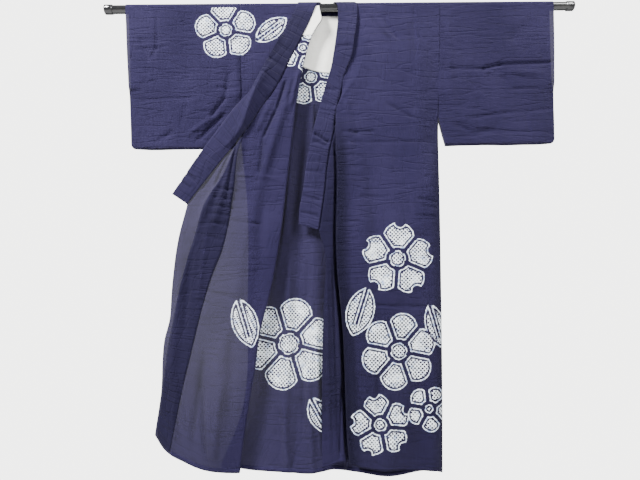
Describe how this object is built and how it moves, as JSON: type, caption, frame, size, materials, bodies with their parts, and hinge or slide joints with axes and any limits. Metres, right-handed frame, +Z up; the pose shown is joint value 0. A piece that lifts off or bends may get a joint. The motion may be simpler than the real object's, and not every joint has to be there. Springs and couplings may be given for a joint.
{
  "type": "yukata on a hanging rod",
  "caption": "Open shibori cotton yukata hung by its sleeves and shoulders over a round lacquered rod, one front turned back.",
  "frame": {"origin": "middle of the rod that holds the garment", "axes": "+X along the rod to the viewer's right (the wearer's left), +Y from the front of the garment to its back, +Z up"},
  "size_m": [1.44, 0.0665, 1.4022],
  "materials": {
    "indigo_cotton": "matte slub cotton, tie dyed with white shibori motifs",
    "white_cotton": "matte bleached cotton lining",
    "black_lacquer": "glossy black lacquer"
  },
  "bodies": {
    "root": {"body_right": "indigo_cotton", "body_left": "indigo_cotton", "okumi_right": "indigo_cotton", "okumi_left": "indigo_cotton", "sleeve_right": "indigo_cotton", "sleeve_left": "indigo_cotton", "collar": "indigo_cotton", "yoke_lining": "white_cotton", "rod": "black_lacquer"}
  },
  "joints": []
}
